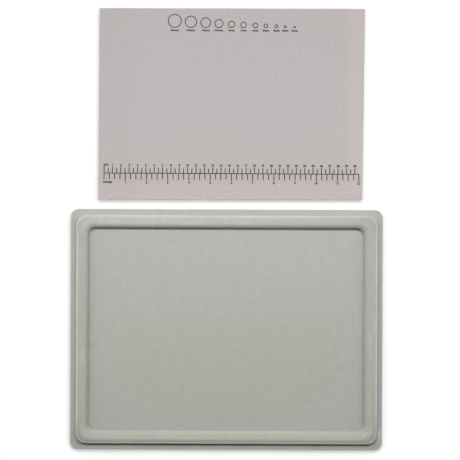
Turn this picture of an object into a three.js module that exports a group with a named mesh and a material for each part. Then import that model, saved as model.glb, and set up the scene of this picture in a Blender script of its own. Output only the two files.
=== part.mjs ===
// Bead mat set: a shallow flocked tray and the soft bead mat that lies in its bed.
// The mat is taken out and lies flat on the table behind the tray.
// Millimetres, +Z up. The origin is the middle of the tray's underside, on the table.

import * as THREE from "three";

// Tray, seen from above
const TRAY_WIDTH = 373; // left to right, over the flange
const TRAY_DEPTH = 287; // front to back, over the flange
const EDGE_CORNER_RADIUS = 9.5; // at the flange's trimmed edge
const RIM_CORNER_RADIUS = 12.5; // at the foot of the outer wall
const BED_CORNER_RADIUS = 8; // at the foot of the inner wall

// Tray section, from the trimmed edge inwards, on the flocked face
const FLANGE_WIDTH = 6.6; // edge to the foot of the outer wall, at the front and back
const SIDE_FLANGE_WIDTH = 5.9; // the same at the left and right, where it is trimmed closer
const OUTER_WALL_DRAFT = 0.3; // how far the outer wall leans in
const LEDGE_WIDTH = 1.6; // narrow step at the top of the outer wall
const SHOULDER_RUN = 2.0; // ledge to the corner of the rim's crown
const CROWN_WIDTH = 11.4; // rim's crown, corner to corner
const INNER_WALL_DRAFT = 1.1; // how far the inner wall leans towards the bed

// Heights above the bed, on the flocked face
const FLANGE_EDGE_RISE = 0.8; // the flange droops towards its edge
const FLANGE_FOOT_RISE = 1.8;
const LEDGE_RISE = 6.0;
const CROWN_RISE = 7.0;

// Fillets of the section, on the flocked face
const OUTER_FOOT_RADIUS = 0.6;
const LEDGE_EDGE_RADIUS = 1.2;
const SHOULDER_FOOT_RADIUS = 0.8;
const OUTER_CROWN_RADIUS = 7.5;
const INNER_CROWN_RADIUS = 6.5;
const BED_FOOT_RADIUS = 1.3;

// Layers of the tray: a formed plastic sheet with flock glued to its upper face
const SHEET_THICKNESS = 0.9;
const FLOCK_THICKNESS = 0.6;

// Mat: a foam core with a short pile on both faces, cut to drop into the bed
const MAT_CLEARANCE = 5.7; // mat to the foot of the inner wall, on each side
const MAT_CORNER_RADIUS = 0.8; // the mat is cut nearly square
const BACK_PILE_THICKNESS = 0.4;
const CORE_THICKNESS = 1.6;
const FACE_PILE_THICKNESS = 0.5;

// Where the mat lies
const MAT_GAP = 11.7; // mat's front edge to the tray's back edge
const MAT_SHIFT = 4.5; // mat's middle to the right of the tray's middle

// Fineness of round stretches
const SECTION_ARC_STEP = 0.9; // longest facet along a fillet of the section
const CORNER_STEPS = 7; // facets round each corner, seen from above

// Places that follow from the sizes above
const TRAY_THICKNESS = SHEET_THICKNESS + FLOCK_THICKNESS;
const LEDGE_INSET = FLANGE_WIDTH + OUTER_WALL_DRAFT;
const SHOULDER_INSET = LEDGE_INSET + LEDGE_WIDTH;
const CROWN_INSET = SHOULDER_INSET + SHOULDER_RUN;
const INNER_WALL_INSET = CROWN_INSET + CROWN_WIDTH;
const BED_INSET = INNER_WALL_INSET + INNER_WALL_DRAFT;
const MAT_WIDTH = TRAY_WIDTH - 2 * (sideInset(BED_INSET) + MAT_CLEARANCE);
const MAT_DEPTH = TRAY_DEPTH - 2 * (BED_INSET + MAT_CLEARANCE);

// Corners of the section on the flocked face: inset from the edge, height, fillet.
// The last one only gives the direction of the flat bed.
const SECTION = [
  { inset: 0, rise: FLANGE_EDGE_RISE, radius: 0 },
  { inset: FLANGE_WIDTH, rise: FLANGE_FOOT_RISE, radius: OUTER_FOOT_RADIUS },
  { inset: LEDGE_INSET, rise: LEDGE_RISE, radius: LEDGE_EDGE_RADIUS },
  { inset: SHOULDER_INSET, rise: LEDGE_RISE, radius: SHOULDER_FOOT_RADIUS },
  { inset: CROWN_INSET, rise: CROWN_RISE, radius: OUTER_CROWN_RADIUS },
  { inset: INNER_WALL_INSET, rise: CROWN_RISE, radius: INNER_CROWN_RADIUS },
  { inset: BED_INSET, rise: 0, radius: BED_FOOT_RADIUS },
  { inset: TRAY_DEPTH / 2, rise: 0, radius: 0 },
];

// An inset at the left and right, where all that lies inside the flange is nearer to the edge.
function sideInset(inset) {
  const flangeShare = Math.min(inset / FLANGE_WIDTH, 1);
  return inset - flangeShare * (FLANGE_WIDTH - SIDE_FLANGE_WIDTH);
}

// The side of a run that faces up, on a section drawn from the edge inwards.
function upwardNormal(run) {
  return new THREE.Vector2(-run.y, run.x);
}

// The section at a depth below the flocked face, from the edge to the start of the flat bed.
// A fillet that bulges upwards tightens with depth, and one that is hollow opens.
// Where two fillets would meet on the run between them, both are eased.
function sectionAt(depth) {
  const face = SECTION.map(({ inset, rise }) => new THREE.Vector2(inset, TRAY_THICKNESS + rise));
  const runs = face.slice(1).map((point, i) => point.clone().sub(face[i]).normalize());
  const bends = face.map((point, i) => {
    const run = runs[Math.max(i - 1, 0)];
    const nextRun = runs[Math.min(i, runs.length - 1)];
    const turn = Math.atan2(run.cross(nextRun), run.dot(nextRun));
    const bothNormals = upwardNormal(run).add(upwardNormal(nextRun));
    const corner = point.clone().addScaledVector(bothNormals, -depth / (1 + Math.cos(turn)));
    const radius = Math.max(0, SECTION[i].radius + Math.sign(turn) * depth);
    return { corner, run, turn, setback: radius * Math.tan(Math.abs(turn) / 2) };
  });
  const ease = bends.slice(1).map((bend, i) => {
    const room = bend.corner.distanceTo(bends[i].corner);
    return Math.min(1, room / (bend.setback + bends[i].setback));
  });
  return bends
    .slice(0, -1)
    .flatMap((bend, i) => fillet(bend, bend.setback * Math.min(ease[i - 1] ?? 1, ease[i])));
}

// Points round a bend of the section, from one setback before its corner to one after it.
function fillet({ corner, run, turn }, setback) {
  if (setback === 0) {
    return [corner];
  }
  const radius = setback / Math.tan(Math.abs(turn) / 2);
  const start = corner.clone().addScaledVector(run, -setback);
  const centre = start.clone().addScaledVector(upwardNormal(run), Math.sign(turn) * radius);
  const steps = 1 + Math.ceil((radius * Math.abs(turn)) / SECTION_ARC_STEP);
  return Array.from({ length: steps + 1 }, (_, step) =>
    start.clone().rotateAround(centre, (turn * step) / steps),
  );
}

// A level rounded rectangle about the Z axis, anticlockwise from above.
function levelRing(width, depth, radius, height) {
  const quarters = [
    [1, 1],
    [-1, 1],
    [-1, -1],
    [1, -1],
  ];
  return quarters.flatMap(([sideX, sideY], quarter) =>
    Array.from({ length: CORNER_STEPS + 1 }, (_, step) => {
      const angle = (Math.PI / 2) * (quarter + step / CORNER_STEPS);
      const x = sideX * (width / 2 - radius) + radius * Math.cos(angle);
      const y = sideY * (depth / 2 - radius) + radius * Math.sin(angle);
      return new THREE.Vector3(x, y, height);
    }),
  );
}

// Corner radius, seen from above, at an inset from the tray's edge.
function cornerRadius(inset) {
  if (inset < FLANGE_WIDTH) {
    return THREE.MathUtils.lerp(EDGE_CORNER_RADIUS, RIM_CORNER_RADIUS, inset / FLANGE_WIDTH);
  }
  const rimShare = (inset - FLANGE_WIDTH) / (BED_INSET - FLANGE_WIDTH);
  return THREE.MathUtils.lerp(RIM_CORNER_RADIUS, BED_CORNER_RADIUS, rimShare);
}

// One round of the tray at an inset from its edge.
function trayRing(inset, height) {
  const width = TRAY_WIDTH - 2 * sideInset(inset);
  return levelRing(width, TRAY_DEPTH - 2 * inset, cornerRadius(inset), height);
}

// A closed skin over level rings, from the one that closes its top to the one that closes its foot.
function loft(rings) {
  const count = rings[0].length;
  const middles = [rings.at(0), rings.at(-1)].map((ring) => new THREE.Vector3(0, 0, ring[0].z));
  const vertices = [...rings.flat(), ...middles];
  const [topMiddle, footMiddle] = [vertices.length - 2, vertices.length - 1];
  const footStart = (rings.length - 1) * count;
  const faces = [];
  for (let point = 0; point < count; point += 1) {
    const next = (point + 1) % count;
    faces.push(topMiddle, point, next);
    faces.push(footMiddle, footStart + next, footStart + point);
    for (let start = 0; start < footStart; start += count) {
      const [a, b] = [start + point, start + next];
      faces.push(a, a + count, b);
      faces.push(b, a + count, b + count);
    }
  }
  const geometry = new THREE.BufferGeometry().setFromPoints(vertices).setIndex(faces);
  geometry.computeVertexNormals();
  return geometry;
}

// A layer of the tray between two depths below the flocked face.
function trayLayer(upperDepth, lowerDepth) {
  const wayRound = [...sectionAt(upperDepth).reverse(), ...sectionAt(lowerDepth)];
  return loft(wayRound.map(({ x, y }) => trayRing(x, y)));
}

// A layer of the mat between two heights.
function matLayer(foot, top) {
  return loft([top, foot].map((height) => levelRing(MAT_WIDTH, MAT_DEPTH, MAT_CORNER_RADIUS, height)));
}

function piece(name, geometry, material) {
  const mesh = new THREE.Mesh(geometry, material);
  mesh.name = name;
  return mesh;
}

const sheetPlastic = new THREE.MeshStandardMaterial({ color: 0x9b9c96, roughness: 0.45, metalness: 0 });
const flockPile = new THREE.MeshStandardMaterial({ color: 0xb0b1a8, roughness: 0.95, metalness: 0 });
const coreFoam = new THREE.MeshStandardMaterial({ color: 0xb3aba8, roughness: 0.9, metalness: 0 });
const matPile = new THREE.MeshStandardMaterial({ color: 0xbfb8b7, roughness: 0.95, metalness: 0 });

function buildTray() {
  const tray = new THREE.Group();
  tray.add(piece("tray_sheet", trayLayer(FLOCK_THICKNESS, TRAY_THICKNESS), sheetPlastic));
  tray.add(piece("tray_flock", trayLayer(0, FLOCK_THICKNESS), flockPile));
  return tray;
}

function buildMat() {
  const mat = new THREE.Group();
  const coreTop = BACK_PILE_THICKNESS + CORE_THICKNESS;
  mat.add(piece("mat_back_pile", matLayer(0, BACK_PILE_THICKNESS), matPile));
  mat.add(piece("mat_foam_core", matLayer(BACK_PILE_THICKNESS, coreTop), coreFoam));
  mat.add(piece("mat_face_pile", matLayer(coreTop, coreTop + FACE_PILE_THICKNESS), matPile));
  mat.position.set(MAT_SHIFT, TRAY_DEPTH / 2 + MAT_GAP + MAT_DEPTH / 2, 0);
  return mat;
}

const beadMatSet = new THREE.Group();
beadMatSet.add(buildTray(), buildMat());

export default beadMatSet;
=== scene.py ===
"""Looks of a bead mat set: a shallow flocked tray and the soft printed mat that lies in its bed.

The tray stands in front, and the mat lies flat on the table behind it. Sizes are in metres, in the
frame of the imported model: +X to the right, +Y from the tray to the mat, +Z up off the table, with
the origin in the middle of the tray's underside.
"""

import cmath
import logging
import math
from collections.abc import Mapping, Sequence
from dataclasses import dataclass, field
from enum import Enum
from typing import Union

import bpy
import numpy as np
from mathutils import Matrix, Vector, noise


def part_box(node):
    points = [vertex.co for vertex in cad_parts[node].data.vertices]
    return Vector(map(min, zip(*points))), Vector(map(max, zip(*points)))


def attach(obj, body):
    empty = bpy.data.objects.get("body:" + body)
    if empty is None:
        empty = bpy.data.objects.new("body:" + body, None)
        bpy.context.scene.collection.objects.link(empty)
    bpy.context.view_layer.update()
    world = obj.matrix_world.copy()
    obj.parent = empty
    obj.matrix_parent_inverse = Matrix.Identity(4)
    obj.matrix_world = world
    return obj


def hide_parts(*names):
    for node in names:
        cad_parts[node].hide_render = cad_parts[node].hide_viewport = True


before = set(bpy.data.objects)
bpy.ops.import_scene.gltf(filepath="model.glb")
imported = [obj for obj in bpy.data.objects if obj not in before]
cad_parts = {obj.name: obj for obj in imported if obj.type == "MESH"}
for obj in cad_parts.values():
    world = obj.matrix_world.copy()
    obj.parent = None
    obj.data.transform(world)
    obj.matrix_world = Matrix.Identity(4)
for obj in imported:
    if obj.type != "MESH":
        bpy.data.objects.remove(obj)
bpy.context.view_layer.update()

MM = 0.001
TINY = 1e-9
NOISE_MIDDLE = 0.5
SHARP_ANGLE = math.radians(38)

log = logging.getLogger("bead_mat")

Colour = tuple[float, float, float, float]
Span = tuple[float, float]
Operand = Union["Signal", float, Sequence[float]]


def srgb(red: float, green: float, blue: float) -> Colour:
    """Turns a colour as a screen shows it into the linear values that shaders take.

    Args:
        red: Red level, from 0 to 255.
        green: Green level, from 0 to 255.
        blue: Blue level, from 0 to 255.

    Returns:
        The linear colour, with an alpha of 1.
    """
    levels = (level / 255 for level in (red, green, blue))
    linear = [s / 12.92 if s <= 0.04045 else ((s + 0.055) / 1.055) ** 2.4 for s in levels]
    return (*linear, 1.0)


class Pattern(Enum):
    """Unlike patterns of unevenness, by their places in the noise."""

    FLOCK_BROAD = 0
    FLOCK_FINE = 3
    RUB_PATCHES = 5
    RUB_SLOW = 9
    LIFT_BROAD = 12
    LIFT_FINE = 15
    CUT_SIDEWAYS = 21
    CUT_LENGTHWAYS = 27
    STREAKS = 31


def ripple(points: np.ndarray, wave: float, pattern: Pattern) -> np.ndarray:
    """Works out a smooth unevenness over points of the table's plane.

    Args:
        points: Points, one a row, of which X and Y count.
        wave: Rough length of the waves.
        pattern: Which of the patterns it is.

    Returns:
        A value from about -1 to 1 for each point.
    """
    places = [Vector((p[0] / wave, p[1] / wave, pattern.value)) for p in points]
    return np.array([noise.noise(place) for place in places])


def patchiness(points: np.ndarray, wave: float, pattern: Pattern) -> np.ndarray:
    """A smooth unevenness over points that goes from about 0 to 1."""
    return (1 + ripple(points, wave, pattern)) / 2


def bump_curve(place: np.ndarray | float, middle: float, reach: float) -> np.ndarray | float:
    """A bell curve of height 1 about a middle, which fades over a reach."""
    return np.exp(-(((place - middle) / reach) ** 2))


class Step(Enum):
    """Steps of arithmetic, by the words that nodes have for them."""

    ADD = "ADD"
    SUBTRACT = "SUBTRACT"
    MULTIPLY = "MULTIPLY"


class Axis(Enum):
    """Axes of a piece, by the names of their sockets."""

    X = "X"
    Y = "Y"


class Mark(Enum):
    """Values that the flock's mesh carries at its points, by their names there."""

    WARM = "warm"
    THIN = "thin"
    # Paleness of the flock: partly worn flock, partly painted highlight on the ledge, the crown and the
    # front rim.
    RUB = "rub"
    # Painted shade on the flock: darker towards the front, by walls, in creases and in corners.
    SOIL = "soil"


@dataclass(frozen=True)
class Grain:
    """Even noise: the size of its lumps, how many finer layers lie on them, and how strong those are.

    A shift moves the pattern, to make it unlike another.
    """

    size: float
    detail: float = 3.0
    roughness: float = 0.5
    shift: float = 0.0


@dataclass(frozen=True)
class Relief:
    """How a height stands out of a surface: how far a height of 1 does, and how much of it shows."""

    distance: float
    strength: float = 0.5


class Signal:
    """An output socket of a material's nodes. Arithmetic on it adds the nodes that work it out."""

    def __init__(self, graph: "NodeGraph", socket: bpy.types.NodeSocket) -> None:
        """Wraps a socket of a graph."""
        self.graph = graph
        self.socket = socket

    def __add__(self, other: Operand) -> "Signal":
        """Adds a signal, number or colour to this one."""
        return self.graph.combine(Step.ADD, self, other)

    def __radd__(self, other: Operand) -> "Signal":
        """Adds this signal to a number or colour."""
        return self.graph.combine(Step.ADD, other, self)

    def __sub__(self, other: Operand) -> "Signal":
        """Takes a signal, number or colour from this one."""
        return self.graph.combine(Step.SUBTRACT, self, other)

    def __rsub__(self, other: Operand) -> "Signal":
        """Takes this signal from a number or colour."""
        return self.graph.combine(Step.SUBTRACT, other, self)

    def __mul__(self, other: Operand) -> "Signal":
        """Multiplies this signal by a signal, number or colour."""
        return self.graph.combine(Step.MULTIPLY, self, other)

    def __rmul__(self, other: Operand) -> "Signal":
        """Multiplies a number or colour by this signal."""
        return self.graph.combine(Step.MULTIPLY, other, self)

    def mix(self, low: Operand, high: Operand) -> "Signal":
        """Fades from one colour to another as this signal goes from 0 to 1.

        Args:
            low: The colour at 0.
            high: The colour at 1.

        Returns:
            The signal of the colour.
        """
        settings = {"data_type": "RGBA", "blend_type": "MIX"}
        sockets = {"Factor_Float": self, "A_Color": low, "B_Color": high}
        return self.graph.node("ShaderNodeMix", settings, sockets, "Result_Color")

    def rise(self, low: float, high: float) -> "Signal":
        """Goes smoothly from 0 to 1 as this signal goes from a low to a high value."""
        sockets = {"Value": self, "From Min": low, "From Max": high}
        return self.graph.node("ShaderNodeMapRange", {"interpolation_type": "SMOOTHSTEP"}, sockets)

    def span(self, low: float, high: float) -> "Signal":
        """Goes evenly from a low to a high value as this signal goes from 0 to 1."""
        return low + (high - low) * self


class NodeGraph:
    """The nodes of one material or world, built up from expressions."""

    def __init__(self, owner: bpy.types.Material | bpy.types.World) -> None:
        """Starts from no nodes at all.

        Args:
            owner: The material or world.
        """
        self.owner = owner
        owner.use_nodes = True
        self.tree = owner.node_tree
        self.tree.nodes.clear()

    @classmethod
    def of_material(cls, name: str) -> "NodeGraph":
        """Starts the nodes of a new material."""
        return cls(bpy.data.materials.new(name))

    def node(
        self,
        kind: str,
        settings: Mapping[str, object] | None = None,
        sockets: Mapping[str | int, Operand] | None = None,
        output: str | int | None = 0,
    ) -> Signal | None:
        """Adds a node.

        Args:
            kind: The node's type.
            settings: Its properties, which are set first.
            sockets: Values or signals for its inputs, by identifier, name or place.
            output: Which output is wanted, or None for a node that ends a graph.

        Returns:
            The signal of that output.
        """
        node = self.tree.nodes.new(kind)
        for name, value in (settings or {}).items():
            setattr(node, name, value)
        for key, value in (sockets or {}).items():
            self.feed(self.find(node.inputs, key), value)
        return None if output is None else Signal(self, self.find(node.outputs, output))

    @staticmethod
    def find(sockets: bpy.types.NodeInputs, key: str | int) -> bpy.types.NodeSocket:
        """Finds a socket of a node.

        Args:
            sockets: The node's inputs or outputs.
            key: The socket's place, identifier or name.

        Returns:
            The socket.
        """
        if isinstance(key, int):
            return sockets[key]
        return next(s for s in sockets if key in (s.identifier, s.name))

    def feed(self, socket: bpy.types.NodeSocket, value: Operand) -> None:
        """Links a signal to an input, or sets a plain value on it.

        Args:
            socket: The input.
            value: A signal, a number, or the numbers of a colour or vector.
        """
        if isinstance(value, Signal):
            self.tree.links.new(value.socket, socket)
        elif isinstance(value, (int, float)) and socket.type == "RGBA":
            socket.default_value = (value, value, value, 1.0)
        elif isinstance(value, (int, float)) and socket.type == "VECTOR":
            socket.default_value = (value, value, value)
        else:
            socket.default_value = value

    def combine(self, step: Step, left: Operand, right: Operand) -> Signal:
        """Adds the node for one step of arithmetic.

        Args:
            step: The step.
            left: What stands before the operator.
            right: What stands after it.

        Returns:
            The signal of the result: a colour, a vector or a value, as its parts are.
        """
        signals = [part for part in (left, right) if isinstance(part, Signal)]
        kinds = {signal.socket.type for signal in signals}
        if "RGBA" in kinds or any(isinstance(part, tuple) for part in (left, right)):
            settings = {"data_type": "RGBA", "blend_type": step.value}
            sockets = {"Factor_Float": 1.0, "A_Color": left, "B_Color": right}
            return self.node("ShaderNodeMix", settings, sockets, "Result_Color")
        kind = "ShaderNodeVectorMath" if "VECTOR" in kinds else "ShaderNodeMath"
        return self.node(kind, {"operation": step.value}, {0: left, 1: right})

    def place(self) -> Signal:
        """Where a point lies on its piece, in metres."""
        return self.node("ShaderNodeTexCoord", output="Object")

    def along(self, axis: Axis) -> Signal:
        """Where a point lies along one axis of its piece."""
        sockets = {"Vector": self.place()}
        return self.node("ShaderNodeSeparateXYZ", sockets=sockets, output=axis.value)

    def grain(self, grain: Grain) -> Signal:
        """Lays out even noise.

        Args:
            grain: How it is made up.

        Returns:
            A value from 0 to 1, about 0.5 in the middle.
        """
        sockets = {
            "Vector": self.place() + grain.shift if grain.shift else self.place(),
            "Scale": 1 / grain.size,
            "Detail": grain.detail,
            "Roughness": grain.roughness,
        }
        return self.node("ShaderNodeTexNoise", {"noise_dimensions": "3D"}, sockets)

    def mark(self, mark: Mark) -> Signal:
        """A value that a piece's mesh carries at its points."""
        return self.node("ShaderNodeAttribute", {"attribute_name": mark.value}, output="Fac")

    def bump(self, height: Signal, relief: Relief) -> Signal:
        """A normal that follows a height."""
        sockets = {"Height": height, "Distance": relief.distance, "Strength": relief.strength}
        return self.node("ShaderNodeBump", sockets=sockets)

    def seen(self) -> Signal:
        """Tells what the camera sees, directly, in a mirror or through glass, from other light.

        Returns:
            1 for what it sees and 0 for other light.
        """
        ways = ("Is Camera Ray", "Is Glossy Ray", "Is Transmission Ray")
        camera, glossy, clear = (self.node("ShaderNodeLightPath", output=way) for way in ways)
        return camera + glossy + clear

    def close(self, sockets: Mapping[str, Operand]) -> bpy.types.Material:
        """Ends a material in a surface.

        Args:
            sockets: Values or signals for the surface's inputs.

        Returns:
            The finished material.
        """
        surface = self.node("ShaderNodeBsdfPrincipled", sockets=sockets)
        self.node("ShaderNodeOutputMaterial", sockets={"Surface": surface}, output=None)
        return self.owner


@dataclass(frozen=True)
class FlockFinish:
    """Short flock on the tray: grey, olive where it is worn, thin on the flange, pale on edges partly
    from worn flock and partly as painted highlight.

    Painted shade darkens it towards the front, on the side crowns, by the walls, in creases and in the
    rim's corners.
    """

    cool: Colour = srgb(178, 179, 173)
    olive: Colour = srgb(176.5, 178.5, 167)
    thin: Colour = srgb(173, 174, 168.3)
    # How much paler the flock gets under worn flock and painted highlight, and how much darker under
    # painted shade.
    rubbed_gain: float = 1.5
    soiled_gain: float = 0.68
    patches: Grain = Grain(30 * MM, roughness=0.55)
    mottle: Grain = Grain(7 * MM, roughness=0.6)
    fibres: Grain = Grain(0.4 * MM, roughness=0.65)
    patch_swing: float = 0.6
    least_depth: float = 0.88
    mottle_depth: float = 0.2
    fibre_depth: float = 0.04
    roughness: Span = (0.86, 0.98)
    mottle_relief: float = 0.6
    relief: Relief = Relief(0.15 * MM)

    def material(self) -> bpy.types.Material:
        """Builds the flock's material, which reads the marks that the flock carries.

        Returns:
            The material.
        """
        graph = NodeGraph.of_material("tray_flock")
        patches = graph.grain(self.patches)
        mottle = graph.grain(self.mottle)
        fibres = graph.grain(self.fibres)
        warmth = graph.mark(Mark.WARM) + self.patch_swing * (patches - NOISE_MIDDLE)
        ground = graph.mark(Mark.THIN).mix(warmth.mix(self.cool, self.olive), self.thin)
        # Brightening is worn flock plus painted highlight; shading is painted shade.
        brightening = graph.mark(Mark.RUB).span(1.0, self.rubbed_gain)
        shading = graph.mark(Mark.SOIL).span(1.0, self.soiled_gain)
        depth = self.least_depth + self.mottle_depth * mottle + self.fibre_depth * fibres
        return graph.close(
            {
                "Base Color": ground * (depth * brightening * shading),
                "Roughness": fibres.span(*self.roughness),
                "Specular IOR Level": 0.15,
                "Sheen Weight": 0.12,
                "Sheen Roughness": 0.6,
                "Sheen Tint": self.cool,
                "Normal": graph.bump(fibres + self.mottle_relief * mottle, self.relief),
            }
        )


@dataclass(frozen=True)
class SheetFinish:
    """Vacuum-formed plastic sheet: satin grey with faint flow marks."""

    pale: Colour = srgb(160, 161, 154)
    deep: Colour = srgb(149, 150, 144)
    flow: Grain = Grain(24 * MM, detail=4.0, roughness=0.55)
    grain: Grain = Grain(0.7 * MM, detail=2.0)
    flow_edges: Span = (0.3, 0.7)
    least_roughness: float = 0.38
    flow_roughness: float = 0.1
    grain_roughness: float = 0.08
    flow_relief: float = 0.8
    relief: Relief = Relief(0.05 * MM, 0.4)

    def material(self) -> bpy.types.Material:
        """Builds the plastic's material.

        Returns:
            The material.
        """
        graph = NodeGraph.of_material("tray_plastic")
        flow = graph.grain(self.flow)
        grain = graph.grain(self.grain)
        roughness = self.least_roughness + self.flow_roughness * flow + self.grain_roughness * grain
        return graph.close(
            {
                "Base Color": flow.rise(*self.flow_edges).mix(self.deep, self.pale),
                "Roughness": roughness,
                "Normal": graph.bump(grain + self.flow_relief * flow, self.relief),
            }
        )


@dataclass(frozen=True)
class PileFinish:
    """Velvety pile of the mat: a cool grey that turns warm and then pink towards its edges.

    It is a little darker towards the back and the left. Places are in the frame.
    """

    name: str
    cool: Colour = srgb(183.2, 177.7, 178.9)
    warm: Colour = srgb(183.8, 178, 176.2)
    pink: Colour = srgb(190.5, 181, 179.3)
    patches: Grain = Grain(24 * MM, roughness=0.6)
    mottle: Grain = Grain(2.4 * MM, roughness=0.6, shift=0.3)
    fibres: Grain = Grain(0.3 * MM, roughness=0.65)
    warm_front: Span = (244 * MM, 214 * MM)
    warm_back: Span = (357 * MM, 377 * MM)
    warm_right: Span = (126 * MM, 142 * MM)
    pink_front: Span = (182 * MM, 168 * MM)
    pink_right: Span = (139 * MM, 153 * MM)
    flat_back: Span = (200 * MM, 420 * MM)
    flat_left: Span = (-100 * MM, -122 * MM)
    back_loss: float = 0.1
    left_loss: float = 0.026
    patch_swing: float = 1.2
    patch_middle: float = 0.45
    least_depth: float = 0.77
    mottle_depth: float = 0.4
    fibre_depth: float = 0.06
    roughness: Span = (0.88, 0.98)
    mottle_relief: float = 0.5
    relief: Relief = Relief(0.12 * MM)

    def material(self) -> bpy.types.Material:
        """Builds the pile's material.

        Returns:
            The material.
        """
        graph = NodeGraph.of_material(self.name)
        patches = graph.grain(self.patches)
        mottle = graph.grain(self.mottle)
        fibres = graph.grain(self.fibres)
        across, along = graph.along(Axis.X), graph.along(Axis.Y)
        darkening = self.back_loss * along.rise(*self.flat_back)
        darkening += self.left_loss * across.rise(*self.flat_left)
        edges = along.rise(*self.warm_front) + along.rise(*self.warm_back)
        edges += across.rise(*self.warm_right)
        warmth = (edges + self.patch_swing * (patches - self.patch_middle)).rise(0.0, 1.0)
        blush = along.rise(*self.pink_front) + across.rise(*self.pink_right)
        ground = blush.rise(0.0, 1.0).mix(warmth.mix(self.cool, self.warm), self.pink)
        depth = self.least_depth + self.mottle_depth * mottle + self.fibre_depth * fibres
        return graph.close(
            {
                "Base Color": ground * (depth * (1.0 - darkening)),
                "Roughness": fibres.span(*self.roughness),
                "Specular IOR Level": 0.12,
                "Sheen Weight": 0.15,
                "Sheen Roughness": 0.55,
                "Sheen Tint": self.cool,
                "Normal": graph.bump(fibres + self.mottle_relief * mottle, self.relief),
            }
        )


@dataclass(frozen=True)
class FoamFinish:
    """Fine open-cell foam, as its cut edge shows it, with painted shade in its cell hollows."""

    pale: Colour = srgb(186, 179, 174)
    deep: Colour = srgb(160, 152, 147)
    cell_size: float = 0.35 * MM
    wall_edges: Span = (0.02, 0.3)
    roughness: Span = (0.95, 0.85)
    relief: Relief = Relief(0.15 * MM, 0.7)

    def material(self) -> bpy.types.Material:
        """Builds the foam's material.

        Returns:
            The material.
        """
        graph = NodeGraph.of_material("mat_foam")
        cells = graph.node(
            "ShaderNodeTexVoronoi",
            {"feature": "DISTANCE_TO_EDGE"},
            {"Vector": graph.place(), "Scale": 1 / self.cell_size},
        )
        # Painted shade: the hollows of the cells are darker than their walls.
        hollows = cells.rise(*self.wall_edges)
        return graph.close(
            {
                "Base Color": hollows.mix(self.pale, self.deep),
                "Roughness": hollows.span(*self.roughness),
                "Specular IOR Level": 0.2,
                "Normal": graph.bump(1.0 - hollows, self.relief),
            }
        )


@dataclass(frozen=True)
class InkFinish:
    """Dark ink that soaks into the pile, so that a little of the pile shows through."""

    ink: Colour = srgb(58, 53, 55)
    worn: Colour = srgb(98, 92, 94)
    fibres: Grain = Grain(0.3 * MM, roughness=0.65)
    patches: Grain = Grain(6 * MM, detail=2.0)
    patch_share: float = 0.5
    wear_edges: Span = (0.7, 1.0)
    roughness: Span = (0.82, 0.94)
    relief: Relief = Relief(0.1 * MM)

    def material(self) -> bpy.types.Material:
        """Builds the ink's material.

        Returns:
            The material.
        """
        graph = NodeGraph.of_material("mat_print")
        fibres = graph.grain(self.fibres)
        patches = graph.grain(self.patches)
        worn = (fibres + self.patch_share * patches).rise(*self.wear_edges)
        return graph.close(
            {
                "Base Color": worn.mix(self.ink, self.worn),
                "Roughness": fibres.span(*self.roughness),
                "Specular IOR Level": 0.15,
                "Normal": graph.bump(fibres, self.relief),
            }
        )


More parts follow.
